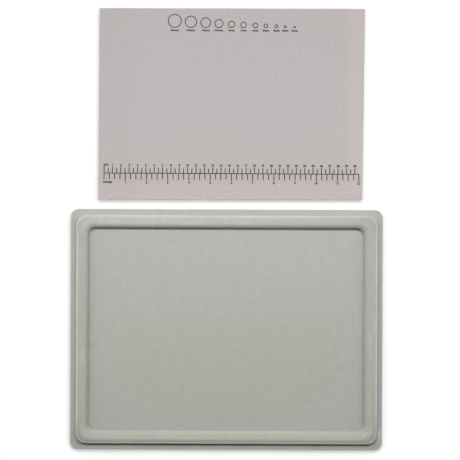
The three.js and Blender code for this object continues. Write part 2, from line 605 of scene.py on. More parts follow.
@dataclass(frozen=True)
class RingGrid:
    """Rounded rectangles of equally many points, which loft into a skin that even grids close."""

    long_steps: int
    short_steps: int
    arc_steps: int

    @classmethod
    def of_step(cls, width: float, depth: float, step: float, arc_steps: int) -> "RingGrid":
        """Divides the sides of a rectangle into even steps.

        Args:
            width: Size from left to right.
            depth: Size from front to back.
            step: How long a step is at most.
            arc_steps: Steps in half a corner.

        Returns:
            The layout of the rings.
        """
        return cls(math.ceil(width / step), math.ceil(depth / step), arc_steps)

    @property
    def columns(self) -> int:
        """Faces from left to right in a closing grid."""
        return self.long_steps + 2 * self.arc_steps

    @property
    def rows(self) -> int:
        """Faces from front to back in a closing grid."""
        return self.short_steps + 2 * self.arc_steps

    def ring(self, width: float, depth: float, radius: float) -> np.ndarray:
        """Lays out one rounded rectangle about the origin.

        Args:
            width: Size from left to right.
            depth: Size from front to back.
            radius: Corner radius.

        Returns:
            Its points as complex numbers, anticlockwise from the middle of the front left corner.
        """
        sides = []
        sizes = ((width, depth, self.long_steps), (depth, width, self.short_steps))
        for quarter, (length, across, steps) in enumerate(sizes * 2):
            start = complex(radius - length / 2, radius - across / 2)
            end = complex(length / 2 - radius, radius - across / 2)
            first_arc = np.exp(1j * np.linspace(1.25 * math.pi, 1.5 * math.pi, self.arc_steps + 1))
            last_arc = np.exp(1j * np.linspace(1.5 * math.pi, 1.75 * math.pi, self.arc_steps + 1))
            straight = np.linspace(start, end, steps + 1) - 1j * radius
            side = [start + radius * first_arc, straight[1:-1], end + radius * last_arc[:-1]]
            sides.append(np.concatenate(side) * 1j**quarter)
        return np.concatenate(sides)

    def grid(self, first: int, inner: int) -> np.ndarray:
        """Numbers the points of a grid that closes a ring.

        Args:
            first: Number of the ring's first point.
            inner: Number of the first point inside the ring.

        Returns:
            Point numbers, one row of the grid from front to back a row.
        """
        columns, rows = self.columns, self.rows
        count = 2 * (columns + rows)
        around = first + np.arange(count + 1) % count
        numbers = np.empty((rows + 1, columns + 1), int)
        numbers[0, :] = around[: columns + 1]
        numbers[:, columns] = around[columns : columns + rows + 1]
        numbers[rows, ::-1] = around[columns + rows : 2 * columns + rows + 1]
        numbers[::-1, 0] = around[2 * columns + rows :]
        middle = np.arange((rows - 1) * (columns - 1)).reshape(rows - 1, columns - 1)
        numbers[1:-1, 1:-1] = inner + middle
        return numbers

    def inside(self, ring: np.ndarray) -> np.ndarray:
        """Spreads points evenly inside a ring.

        Args:
            ring: The ring's points in space.

        Returns:
            The points inside it, row by row from front to back.
        """
        edge = self.grid(0, 0)
        front, back, left, right = (ring[n] for n in (edge[0], edge[-1], edge[:, 0], edge[:, -1]))
        u = np.linspace(0, 1, self.columns + 1)[None, 1:-1, None]
        v = np.linspace(0, 1, self.rows + 1)[1:-1, None, None]
        level = (1 - v) * front[None, 1:-1] + v * back[None, 1:-1]
        upright = (1 - u) * left[1:-1, None] + u * right[1:-1, None]
        corners = (1 - v) * ((1 - u) * front[0] + u * front[-1]) + v * ((1 - u) * back[0] + u * back[-1])
        return (level + upright - corners).reshape(-1, 3)

    def loft(self, rings: Sequence[np.ndarray]) -> tuple[np.ndarray, list[list[int]]]:
        """Makes a closed skin over rings.

        Args:
            rings: Points in space of each ring, from the one that a grid closes on top, outwards and
                round to the one that a grid closes underneath.

        Returns:
            The skin's points and its four-sided faces.
        """
        count = len(rings[0])
        around = np.arange(count)
        following = (around + 1) % count
        band = np.stack([around, around + count, following + count, following], axis=1)
        bands = [band + count * level for level in range(len(rings) - 1)]
        top, foot = self.inside(rings[0]), self.inside(rings[-1])
        skin = count * len(rings)
        upper = self.grid(0, skin)
        lower = self.grid(skin - count, skin + len(top))[:, ::-1]
        caps = [
            np.stack([g[:-1, :-1], g[:-1, 1:], g[1:, 1:], g[1:, :-1]], axis=-1).reshape(-1, 4)
            for g in (upper, lower)
        ]
        points = np.concatenate([*rings, top, foot])
        return points, np.concatenate([*bands, *caps]).tolist()


def in_space(ring: np.ndarray, height: float | np.ndarray) -> np.ndarray:
    """Lifts a flat ring of complex numbers to a height, as points in space."""
    return np.stack([ring.real, ring.imag, np.broadcast_to(height, ring.shape)], axis=1)


def make_piece(
    name: str,
    points: np.ndarray,
    faces: list[list[int]],
    material: bpy.types.Material,
    smooth: bool = True,
) -> bpy.types.Object:
    """Makes a piece from points and faces.

    Args:
        name: The piece's name.
        points: Its points, one a row.
        faces: Point numbers of each face.
        material: Its finish.
        smooth: Whether it is shaded smooth, but for its sharp edges.

    Returns:
        The new piece.
    """
    mesh = bpy.data.meshes.new(name)
    mesh.from_pydata(points.tolist(), [], faces)
    if smooth:
        mesh.shade_smooth()
        mesh.set_sharp_from_angle(angle=SHARP_ANGLE)
    mesh.materials.append(material)
    piece = bpy.data.objects.new(name, mesh)
    bpy.context.scene.collection.objects.link(piece)
    return piece


def put_mark(piece: bpy.types.Object, mark: Mark, values: np.ndarray) -> None:
    """Stores a value at each point of a piece, for its material to read."""
    stored = piece.data.attributes.new(mark.value, "FLOAT", "POINT")
    stored.data.foreach_set("value", np.asarray(values, np.float32))


@dataclass(frozen=True)
class Bend:
    """A corner of the tray's section: inset from the edge, height above the bed, and fillet."""

    inset: float
    rise: float
    radius: float


@dataclass(frozen=True)
class RimSection:
    """Section of the formed tray on its flocked face, from the trimmed edge to the bed."""

    flange_width: float = 6.6 * MM
    outer_draft: float = 0.3 * MM
    ledge_width: float = 1.6 * MM
    shoulder_run: float = 2.0 * MM
    crown_width: float = 11.4 * MM
    inner_draft: float = 1.1 * MM
    flange_edge_rise: float = 0.8 * MM
    flange_foot_rise: float = 1.8 * MM
    ledge_rise: float = 6.0 * MM
    crown_rise: float = 7.0 * MM
    outer_foot_radius: float = 0.6 * MM
    ledge_edge_radius: float = 1.2 * MM
    shoulder_foot_radius: float = 0.8 * MM
    outer_crown_radius: float = 7.5 * MM
    inner_crown_radius: float = 6.5 * MM
    bed_foot_radius: float = 1.3 * MM
    arc_step: float = 0.42 * MM
    straight_step: float = 1.3 * MM

    @property
    def ledge_inset(self) -> float:
        """Edge to the outer side of the ledge."""
        return self.flange_width + self.outer_draft

    @property
    def crown_inset(self) -> float:
        """Edge to the outer corner of the crown."""
        return self.ledge_inset + self.ledge_width + self.shoulder_run

    @property
    def bed_inset(self) -> float:
        """Edge to the foot of the inner wall."""
        return self.crown_inset + self.crown_width + self.inner_draft

    def bends(self) -> list[Bend]:
        """Lists the section's corners.

        Returns:
            The corners. The last one only gives the direction of the bed.
        """
        shoulder_inset = self.ledge_inset + self.ledge_width
        wall_inset = self.crown_inset + self.crown_width
        return [
            Bend(0, self.flange_edge_rise, 0),
            Bend(self.flange_width, self.flange_foot_rise, self.outer_foot_radius),
            Bend(self.ledge_inset, self.ledge_rise, self.ledge_edge_radius),
            Bend(shoulder_inset, self.ledge_rise, self.shoulder_foot_radius),
            Bend(self.crown_inset, self.crown_rise, self.outer_crown_radius),
            Bend(wall_inset, self.crown_rise, self.inner_crown_radius),
            Bend(self.bed_inset, 0, self.bed_foot_radius),
            Bend(2 * self.bed_inset, 0, 0),
        ]

    def line(self, bed_height: float, depth: float) -> np.ndarray:
        """Draws the section at a depth below the flocked face.

        Args:
            bed_height: Height of the flocked bed.
            depth: How far below the flocked face the section lies.

        Returns:
            Complex points, inset and height, from the edge to the start of the flat bed.
        """
        bends = self.bends()
        face = [complex(bend.inset, bed_height + bend.rise) for bend in bends]
        runs = [(b - a) / abs(b - a) for a, b in zip(face, face[1:])]
        corners, setbacks, turns = [], [], []
        for point, bend, run, after in zip(face, bends, [runs[0], *runs], [*runs, runs[-1]]):
            turn = cmath.phase(after / run)
            corners.append(point - depth * 1j * (run + after) / (1 + math.cos(turn)))
            radius = max(0.0, bend.radius + math.copysign(depth, turn)) if bend.radius else 0.0
            setbacks.append(radius * math.tan(abs(turn) / 2))
            turns.append(turn)
        ease = [
            min(1.0, abs(corners[i + 1] - corners[i]) / max(setbacks[i] + setbacks[i + 1], TINY))
            for i in range(len(runs))
        ]
        line: list[complex] = []
        for i, corner in enumerate(corners[:-1]):
            setback = setbacks[i] * min(ease[max(i - 1, 0)], ease[i])
            line += self.fillet(corner, runs[max(i - 1, 0)], turns[i], setback)
        return self.divided(line)

    def fillet(self, corner: complex, run: complex, turn: float, setback: float) -> list[complex]:
        """Rounds a corner of the section.

        Args:
            corner: The sharp corner.
            run: Direction of the run before it.
            turn: How far the section turns there.
            setback: How far before the corner the fillet starts.

        Returns:
            Points of the fillet, or the corner alone where it has none.
        """
        if setback == 0:
            return [corner]
        radius = setback / math.tan(abs(turn) / 2)
        start = corner - setback * run
        centre = start + math.copysign(radius, turn) * 1j * run
        steps = 2 + math.ceil(radius * abs(turn) / self.arc_step)
        return [centre + (start - centre) * cmath.exp(1j * turn * i / steps) for i in range(steps + 1)]

    def divided(self, line: Sequence[complex]) -> np.ndarray:
        """Adds points to the long straight runs of a line.

        Args:
            line: Complex points.

        Returns:
            The same line with more points.
        """
        pieces = [
            np.linspace(a, b, max(2, 1 + math.ceil(abs(b - a) / self.straight_step)))[:-1]
            for a, b in zip(line, line[1:])
        ]
        return np.concatenate([*pieces, line[-1:]])


@dataclass
class FlockSpots:
    """Points of the flock, their insets from the tray's edge, and the parts of the tray they lie on.

    A part is a share for each point: 1 on it and 0 off it. The ends are the front and back rims.
    """

    points: np.ndarray
    insets: np.ndarray
    section: RimSection
    width: float
    depth: float
    end_fade: Span = (-3.0, -2.0)

    def __post_init__(self) -> None:
        """Works out the parts, and how far points lie from the bed's walls."""
        bed_inset = self.section.bed_inset
        self.x, self.y = self.points[:, 0], self.points[:, 1]
        way_out = (2 * np.abs(self.y) - self.depth) / bed_inset
        self.at_ends = np.interp(way_out, self.end_fade, (0, 1))
        self.at_front = self.at_ends * (self.y < 0)
        self.at_right = (1 - self.at_ends) * (self.x > 0)
        self.on_bed = self.insets > bed_inset
        self.on_rim = (self.insets > self.section.ledge_inset) * (self.insets < bed_inset)
        self.from_sides = self.width / 2 - bed_inset - np.abs(self.x)
        self.from_front = self.y + self.depth / 2 - bed_inset


@dataclass(frozen=True)
class RubMark:
    """A pale mark on the flock: its middle, direction, half sizes and strength."""

    x: float
    y: float
    angle: float
    length: float
    breadth: float
    strength: float

    def over(self, spots: FlockSpots) -> np.ndarray:
        """Works out how strong the mark is at each point.

        Args:
            spots: Points of the flock.

        Returns:
            A share for each point.
        """
        turned = (spots.x - self.x + 1j * (spots.y - self.y)) * cmath.exp(-1j * self.angle)
        faded = bump_curve(turned.real, 0, self.length) * bump_curve(turned.imag, 0, self.breadth)
        return self.strength * faded


@dataclass(frozen=True)
class SoilBand:
    """A stretch of painted shade across the tray's section: where it lies past a corner, and how far it
    reaches.
    """

    shift: float
    reach: float

    def over(self, spots: FlockSpots, corner: float) -> np.ndarray:
        """How strong the band is at each point, if its corner lies at an inset."""
        return bump_curve(spots.insets, corner + self.shift, self.reach)


@dataclass(frozen=True)
class FlockWear:
    """Marks on the flock: worn olive and thin, pale partly from worn flock and partly as painted
    highlight, and darkened by painted shade.

    Margins of the olive patch are in widths of the rim, the fade of the thin flock is in widths of the
    flange, and the place and reach on the crown are in widths of the crown.
    """

    olive_side_margin: float = 1.5
    olive_front_margin: float = 1.1
    olive_power: int = 3
    olive_edges: Span = (0.55, 0.95)
    olive_bed_fade: Span = (-14 * MM, 28 * MM)
    olive_rim_fade: Span = (20 * MM, 85 * MM)
    olive_rim: Span = (0.35, 1.0)
    thin_fade: Span = (0.8, 1.2)
    slow_wave: float = 40 * MM
    patch_wave: float = 9 * MM
    ledge_place: float = 1.3 * MM
    ledge_drift: float = 0.4 * MM
    ledge_reach: float = 0.8 * MM
    ledge_rub: Span = (0.55, 0.95)
    right_ledge_loss: float = 0.1
    front_ledge_loss: float = 0.8
    crown_place: float = 0.35
    crown_reach: float = 0.42
    crown_rub: Span = (0.16, 0.28)
    side_crown: float = 0.1
    end_crown: float = 0.7
    front_crown: float = 0.5
    streak_rub: float = 0.2
    streak_wave: float = 34 * MM
    streak_thinness: float = 14.0
    # Strengths and reaches of the painted shade.
    front_soil: float = 0.27
    front_fade: Span = (-126 * MM, 95 * MM)
    grip_soil: float = 0.17
    front_grip_loss: float = 0.5
    side_soil: float = 0.19
    side_reach: float = 19 * MM
    wall_soil: float = 0.21
    wall_reach: float = 8 * MM
    crease_soil: float = 0.22
    right_crease_loss: float = 0.8
    bed_crease: SoilBand = SoilBand(0.7 * MM, 1.1 * MM)
    flange_crease: SoilBand = SoilBand(-0.3 * MM, 1.0 * MM)
    front_flange: SoilBand = SoilBand(-2.2 * MM, 1.4 * MM)
    shoulder_soil: float = 0.42
    shoulder: SoilBand = SoilBand(0.6 * MM, 1.5 * MM)
    corner_soil: float = 0.46
    corner_reach: float = 30 * MM
    back_soil: float = 0.22
    back_fade: Span = (20 * MM, 130 * MM)
    # Pale marks: worn flock at the corners and on the rim, except the long one along the front, which is
    # painted highlight.
    rub_marks: tuple[RubMark, ...] = (
        RubMark(165.5 * MM, -125.5 * MM, math.radians(42), 5 * MM, 1.5 * MM, 0.6),
        RubMark(174 * MM, -133.5 * MM, math.radians(25), 2.5 * MM, 0.8 * MM, 0.5),
        RubMark(183 * MM, -126 * MM, math.radians(87), 7 * MM, 2.2 * MM, 0.8),
        RubMark(-168 * MM, 125 * MM, math.radians(45), 5 * MM, 3 * MM, 0.15),
        # Painted highlight along the top of the front rim's inner wall, which faces the light.
        RubMark(0, -122 * MM, 0, 170 * MM, 0.9 * MM, 0.25),
        RubMark(-70 * MM, -129.3 * MM, 0, 90 * MM, 1.3 * MM, 0.12),
        RubMark(172 * MM, -10 * MM, math.radians(90), 15 * MM, 5 * MM, 0.13),
        RubMark(-172 * MM, -33 * MM, math.radians(90), 10 * MM, 5 * MM, 0.12),
        RubMark(-95 * MM, 128 * MM, 0, 13 * MM, 4 * MM, 0.13),
    )

    def warmth(self, spots: FlockSpots) -> np.ndarray:
        """Works out where the flock is worn olive: on the front half, but not near the bed's walls.

        Args:
            spots: Points of the flock.

        Returns:
            A share from 0 to 1 for each point.
        """
        section = spots.section
        room = spots.width / 2 - self.olive_side_margin * section.bed_inset
        front_room = spots.depth / 2 - self.olive_front_margin * section.bed_inset
        across = np.abs(spots.x) / room
        forward = np.maximum(-spots.y, 0) / front_room
        way_out = across**self.olive_power + forward**self.olive_power
        bed = np.interp(way_out, self.olive_edges, (1, 0))
        bed *= np.interp(spots.y, self.olive_bed_fade, (1, 0))
        shoulder = (section.ledge_inset + section.ledge_width, section.crown_inset)
        rim = np.interp(spots.insets, shoulder, self.olive_rim)
        rim *= np.interp(spots.y, self.olive_rim_fade, (1, 0))
        return np.where(spots.on_bed, bed, rim)

    def thinness(self, spots: FlockSpots) -> np.ndarray:
        """Where the flock is thin: on the flange."""
        return np.interp(spots.insets / spots.section.flange_width, self.thin_fade, (1, 0))

    def rubbed_ledge(self, spots: FlockSpots, slow: np.ndarray) -> np.ndarray:
        """Works out the painted highlight along the ledge's edge, weakest at the front, where the ledge
        faces away from the light.

        Args:
            spots: Points of the flock.
            slow: A slow unevenness of the highlight.

        Returns:
            A share for each point.
        """
        place = self.ledge_place - self.ledge_drift * (spots.at_ends + spots.at_right)
        ledge = bump_curve(spots.insets, spots.section.ledge_inset + place, self.ledge_reach)
        low, high = self.ledge_rub
        ledge *= low + (high - low) * slow - self.right_ledge_loss * spots.at_right
        return ledge * (1 - self.front_ledge_loss * spots.at_front)

    def rubbed_crown(self, spots: FlockSpots, slow: np.ndarray) -> np.ndarray:
        """Works out how the crown is paler, partly from worn flock and partly as painted highlight, most
        of all at the front.

        Args:
            spots: Points of the flock.
            slow: A slow unevenness of the paleness.

        Returns:
            A share for each point.
        """
        width = spots.section.crown_width
        middle = spots.section.crown_inset + self.crown_place * width
        patchy = patchiness(spots.points, self.patch_wave, Pattern.RUB_PATCHES)
        low, high = self.crown_rub
        crown = bump_curve(spots.insets, middle, self.crown_reach * width)
        crown *= low + (high - low) * patchy * slow
        return crown * (
            self.side_crown + self.end_crown * spots.at_ends + self.front_crown * spots.at_front
        )

    def rub(self, spots: FlockSpots) -> np.ndarray:
        """Works out where the flock is pale: painted highlight on the ledge, partly worn and partly
        painted highlight on the crown, worn streaks along the rim, and marks.

        Args:
            spots: Points of the flock.

        Returns:
            A share from 0 to 1 for each point.
        """
        slow = patchiness(spots.points, self.slow_wave, Pattern.RUB_SLOW)
        lengthwise = np.stack([spots.x + spots.y, self.streak_thinness * spots.insets], axis=1)
        streaks = np.maximum(ripple(lengthwise, self.streak_wave, Pattern.STREAKS), 0) * spots.on_rim
        marks = sum(mark.over(spots) for mark in self.rub_marks)
        marks *= spots.insets < spots.section.bed_inset
        rim = self.rubbed_ledge(spots, slow) + self.rubbed_crown(spots, slow)
        return np.clip(rim + self.streak_rub * streaks + marks, 0, 1)

    def soil(self, spots: FlockSpots) -> np.ndarray:
        """Works out the painted shade: in front, on the side crowns, by walls, in creases, on the front
        shoulder, in corners and on the back rim's right half.

        Args:
            spots: Points of the flock.

        Returns:
            A share from 0 to 1 for each point.
        """
        section = spots.section
        # Painted shade: darker towards the front, adding to the light's fall-off.
        forward = np.interp(spots.y, self.front_fade, (1, 0))
        # Painted shade on the crowns and inner walls of the side rims.
        side_rim = (1 - spots.at_ends) * (spots.from_sides < 0) * (spots.insets > section.crown_inset)
        side_rim *= 1 - self.front_grip_loss * forward
        # Painted shade on the bed near the side walls and by the front wall.
        side = spots.on_bed * (spots.from_sides > 0) * np.exp(-spots.from_sides / self.side_reach)
        wall = spots.on_bed * np.exp(-np.maximum(spots.from_front, 0) / self.wall_reach)
        # Painted shade in the creases at the feet of the walls, and on the front flange by the rim.
        crease = self.bed_crease.over(spots, section.bed_inset)
        crease *= 1 - self.right_crease_loss * spots.at_right
        crease += self.flange_crease.over(spots, section.flange_width)
        crease += spots.at_front * self.front_flange.over(spots, section.flange_width)
        # Painted shade on the front shoulder, which faces away from the light.
        shoulder = spots.at_front * self.shoulder.over(spots, section.crown_inset)
        # Painted shade in the rim's corners, and on the right half of the back rim.
        corner = spots.on_rim * bump_curve(np.abs(spots.x), spots.width / 2, self.corner_reach)
        corner *= bump_curve(np.abs(spots.y), spots.depth / 2, self.corner_reach)
        back = spots.on_rim * (spots.at_ends - spots.at_front)
        back *= np.interp(spots.x, self.back_fade, (0, 1))
        soil = self.front_soil * forward + self.grip_soil * side_rim + self.side_soil * side
        soil += self.corner_soil * corner + self.back_soil * back + self.wall_soil * wall
        return np.clip(soil + self.crease_soil * crease + self.shoulder_soil * shoulder, 0, 1)

    def put_on(self, flock: bpy.types.Object, spots: FlockSpots) -> None:
        """Stores all the marks on the flock: worn colour, paleness with painted highlight, and painted
        shade.

        Args:
            flock: The flock's piece.
            spots: Its points.
        """
        put_mark(flock, Mark.RUB, self.rub(spots))
        put_mark(flock, Mark.SOIL, self.soil(spots))
        put_mark(flock, Mark.WARM, self.warmth(spots))
        put_mark(flock, Mark.THIN, self.thinness(spots))


@dataclass
class Tray:
    """The shallow tray: a formed plastic sheet with flock glued over its upper face.

    The drifts say how far off centre the edge, the ledge and the bed are formed.
    """

    section: RimSection = field(default_factory=RimSection)
    wear: FlockWear = field(default_factory=FlockWear)
    flock_finish: FlockFinish = field(default_factory=FlockFinish)
    sheet_finish: SheetFinish = field(default_factory=SheetFinish)
    side_flange_width: float = 5.9 * MM
    edge_corner_radius: float = 9.5 * MM
    rim_corner_radius: float = 12.5 * MM
    bed_corner_radius: float = 8 * MM
    sheet_thickness: float = 0.9 * MM
    flock_thickness: float = 0.6 * MM
    ring_step: float = 3.3 * MM
    corner_steps: int = 7
    drifts: tuple[float, float, float] = (0.05 * MM, 0.25 * MM, -0.6 * MM)
    unevenness: float = 0.12 * MM
    broad_wave: float = 55 * MM
    fine_wave: float = 17 * MM
    fine_share: float = 0.4

    def __post_init__(self) -> None:
        """Takes the tray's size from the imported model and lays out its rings."""
        low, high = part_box("tray_flock")
        self.width, self.depth = high.x - low.x, high.y - low.y
        self.bed_height = self.sheet_thickness + self.flock_thickness
        self.grid = RingGrid.of_step(self.width, self.depth, self.ring_step, self.corner_steps)

    def corner_radius(self, inset: float) -> float:
        """Works out the corner radius, seen from above.

        Args:
            inset: How far it lies from the tray's edge.

        Returns:
            The radius.
        """
        places = (0, self.section.flange_width, self.section.bed_inset)
        radii = (self.edge_corner_radius, self.rim_corner_radius, self.bed_corner_radius)
        return float(np.interp(inset, places, radii))

    def ring(self, inset: float, height: float) -> np.ndarray:
        """Lays out one round of the tray.

        Args:
            inset: How far it lies from the tray's edge.
            height: How high it lies.

        Returns:
            Its points in space.
        """
        flange = self.section.flange_width
        side_inset = inset - min(inset / flange, 1) * (flange - self.side_flange_width)
        width, depth = self.width - 2 * side_inset, self.depth - 2 * inset
        drift = np.interp(inset, (0, self.section.ledge_inset, self.section.bed_inset), self.drifts)
        return in_space(self.grid.ring(width, depth, self.corner_radius(inset)) + drift, height)

    def layer(self, upper: float, lower: float) -> tuple[np.ndarray, list[list[int]], np.ndarray]:
        """Shapes a layer of the tray between two depths below the flocked face.

        Args:
            upper: Depth of the layer's upper face.
            lower: Depth of its lower face.

        Returns:
            Points, faces, and the inset from the tray's edge at each point.
        """
        upper_line, lower_line = (self.section.line(self.bed_height, depth) for depth in (upper, lower))
        way = [*upper_line[::-1], *lower_line]
        rings = [self.ring(spot.real, spot.imag) for spot in way]
        points, faces = self.grid.loft(rings)
        insets = np.full(len(points), 2 * self.section.bed_inset)
        insets[: len(way) * len(rings[0])] = np.repeat([spot.real for spot in way], len(rings[0]))
        lift = ripple(points, self.broad_wave, Pattern.FLOCK_BROAD)
        lift += self.fine_share * ripple(points, self.fine_wave, Pattern.FLOCK_FINE)
        points[:, 2] += self.unevenness * lift * np.clip(points[:, 2] / self.bed_height, 0, 1)
        return points, faces, insets

    def build(self) -> list[bpy.types.Object]:
        """Builds and dresses the two layers.

        Returns:
            The flock and the sheet.
        """
        points, faces, insets = self.layer(0, self.flock_thickness)
        flock = make_piece("flock_coat", points, faces, self.flock_finish.material())
        self.wear.put_on(flock, FlockSpots(points, insets, self.section, self.width, self.depth))
        points, faces, _ = self.layer(self.flock_thickness, self.bed_height)
        sheet = make_piece("formed_sheet", points, faces, self.sheet_finish.material())
        layers = ((flock, "tray_flock", "tray_pile"), (sheet, "tray_sheet", "tray_plastic"))
        for piece, node, slot in layers:
            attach(piece, "tray")
            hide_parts(node)
        return [flock, sheet]


class Corner(Enum):
    """Corners of the mat, by the sides of its middle that they lie on."""

    FRONT_LEFT = (-1, -1)
    FRONT_RIGHT = (1, -1)
    BACK_RIGHT = (1, 1)
    BACK_LEFT = (-1, 1)


@dataclass(frozen=True)
class MatLayer:
    """One layer of the mat: its names, its finish, and how its cut edge is shaped."""

    piece: str
    node: str
    slot: str
    finish: PileFinish | FoamFinish
    top_round: float
    foot_round: float
    inset: float


@dataclass
class Mat:
    """The bead mat: thin foam with a short pile on both faces, cut by hand a little out of square.

    The strays say how far each corner is cut off its place.
    """

    face: MatLayer = MatLayer(
        "mat_face", "mat_face_pile", "mat_pile", PileFinish("mat_face_pile"), 0.35 * MM, 0, 0
    )
    core: MatLayer = MatLayer("mat_foam", "mat_foam_core", "mat_foam", FoamFinish(), 0, 0, 0.12 * MM)
    back: MatLayer = MatLayer(
        "mat_back", "mat_back_pile", "mat_pile", PileFinish("mat_back_pile"), 0, 0.3 * MM, 0
    )
    strays: Mapping[Corner, complex] = field(
        default_factory=lambda: {
            Corner.FRONT_LEFT: complex(0.1, -0.3) * MM,
            Corner.FRONT_RIGHT: complex(-1.25, 0.6) * MM,
            Corner.BACK_RIGHT: complex(1.15, -0.4) * MM,
            Corner.BACK_LEFT: complex(0.9, -0.7) * MM,
        }
    )
    corner_radius: float = 0.8 * MM
    cut_wobble: float = 0.1 * MM
    cut_wave: float = 22 * MM
    lift: float = 0.12 * MM
    broad_lift: float = 0.8
    broad_wave: float = 75 * MM
    fine_lift: float = 0.2
    fine_wave: float = 28 * MM
    ring_step: float = 3 * MM
    corner_steps: int = 2
    round_steps: int = 3

    def __post_init__(self) -> None:
        """Takes the mat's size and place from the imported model."""
        low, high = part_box(self.face.node)
        self.width, self.depth = high.x - low.x, high.y - low.y
        self.middle = complex(low.x + high.x, low.y + high.y) / 2
        self.face_height = high.z
        self.grid = RingGrid.of_step(self.width, self.depth, self.ring_step, self.corner_steps)

    def lifted(self, points: np.ndarray) -> np.ndarray:
        """Works out how far the mat stands off the table, because it doesn't lie quite flat.

        Args:
            points: Points of the mat or of its prints.

        Returns:
            A height for each point.
        """
        broad = self.broad_lift * ripple(points, self.broad_wave, Pattern.LIFT_BROAD)
        fine = self.fine_lift * ripple(points, self.fine_wave, Pattern.LIFT_FINE)
        return self.lift * (1 + broad + fine)

    def cut(self, ring: np.ndarray) -> np.ndarray:
        """Moves a ring of the square mat to the line that it was cut along.

        Args:
            ring: Complex points about the mat's middle.

        Returns:
            Complex points in the frame.
        """
        across, along = 2 * ring.real / self.width, 2 * ring.imag / self.depth
        stray = sum(
            move * (1 + corner.value[0] * across) * (1 + corner.value[1] * along) / 4
            for corner, move in self.strays.items()
        )
        flat = np.stack([ring.real, ring.imag], axis=1)
        sideways = ripple(flat, self.cut_wave, Pattern.CUT_SIDEWAYS)
        lengthways = ripple(flat, self.cut_wave, Pattern.CUT_LENGTHWAYS)
        return self.middle + ring + stray + self.cut_wobble * (sideways + 1j * lengthways)

    def edge(self, layer: MatLayer, foot: float, top: float) -> list[tuple[float, float]]:
        """Draws the cut edge of a layer.

        Args:
            layer: The layer.
            foot: Height of its underside.
            top: Height of its upper face.

        Returns:
            Insets from the mat's edge and heights, from the upper face to the underside.
        """
        turns = np.linspace(0, math.pi / 2, self.round_steps + 1)
        upper, lower = layer.top_round, layer.foot_round
        line = [(0.0, top)]
        if upper:
            line = [(upper * (1 - math.sin(t)), top - upper * (1 - math.cos(t))) for t in turns]
        if lower:
            line += [(lower * (1 - math.cos(t)), foot + lower * (1 - math.sin(t))) for t in turns]
        else:
            line.append((0.0, foot))
        return [(layer.inset + inset, height) for inset, height in line]

    def layer_piece(self, layer: MatLayer) -> bpy.types.Object:
        """Builds and dresses one layer.

        Args:
            layer: The layer.

        Returns:
            Its piece.
        """
        low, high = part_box(layer.node)
        rings = []
        for inset, height in self.edge(layer, low.z, high.z):
            flat = self.grid.ring(self.width - 2 * inset, self.depth - 2 * inset, self.corner_radius)
            rings.append(in_space(self.cut(flat), height))
        points, faces = self.grid.loft(rings)
        points[:, 2] += self.lifted(points)
        piece = make_piece(layer.piece, points, faces, layer.finish.material())
        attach(piece, "mat")
        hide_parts(layer.node)
        return piece

    def build(self, prints: Sequence[bpy.types.Object]) -> list[bpy.types.Object]:
        """Builds the three layers.

        Args:
            prints: The prints on the upper face; not used.

        Returns:
            The face, the foam and the back.
        """
        face, core, back = (self.layer_piece(layer) for layer in (self.face, self.core, self.back))
        return [face, core, back]


